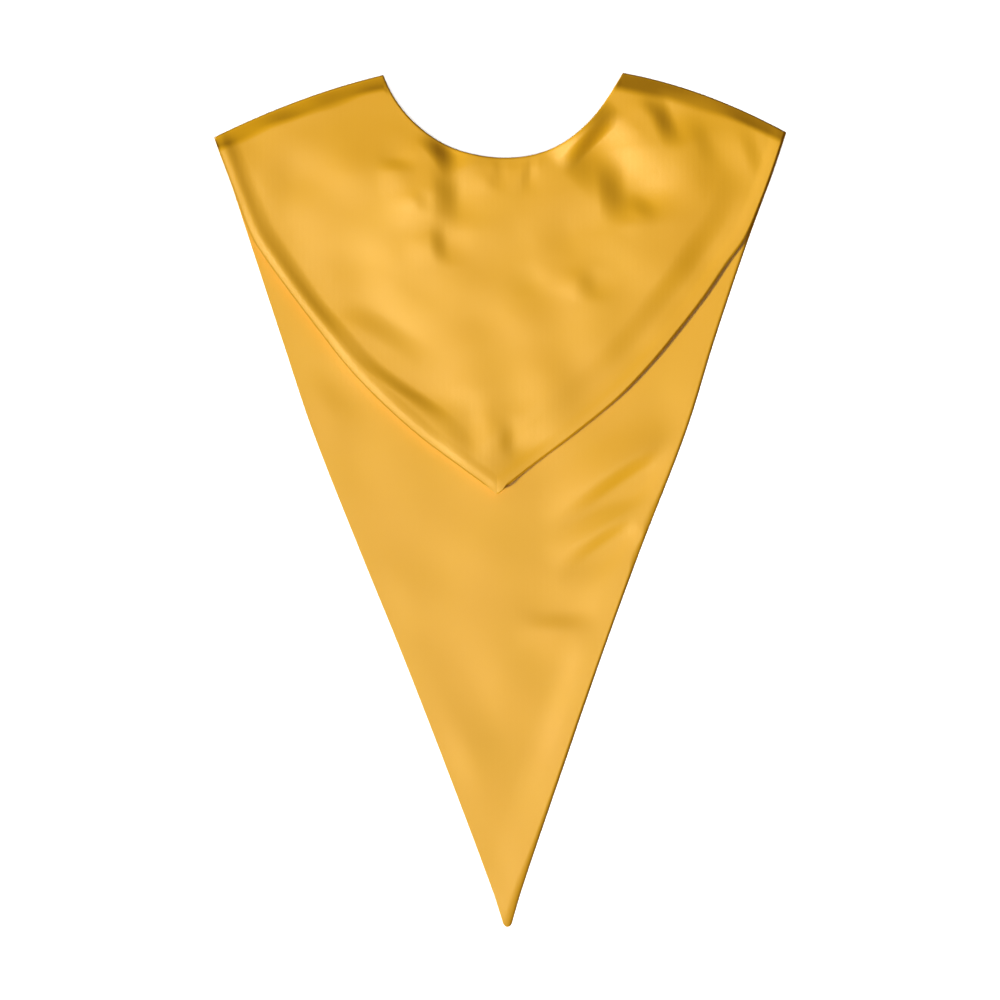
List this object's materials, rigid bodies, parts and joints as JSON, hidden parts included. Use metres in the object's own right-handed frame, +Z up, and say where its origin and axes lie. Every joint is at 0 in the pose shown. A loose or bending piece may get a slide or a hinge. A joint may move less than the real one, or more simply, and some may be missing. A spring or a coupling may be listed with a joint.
{
  "type": "graduation stole",
  "caption": "V-shaped satin graduation stole laid flat: a short pointed panel on a long pointed one, joined along both shoulders round an open scooped neck.",
  "frame": {"origin": "under the middle of the laid-out garment, on the surface it lies on", "axes": "+Z up off that surface, +Y from the long point towards the neck, +X to the right as seen from above"},
  "size_m": [0.5318, 0.794, 0.013],
  "materials": {
    "gold_satin": "plain gold polyester satin, soft sheen"
  },
  "bodies": {
    "root": {"long_panel": "gold_satin", "short_panel": "gold_satin"}
  },
  "joints": []
}
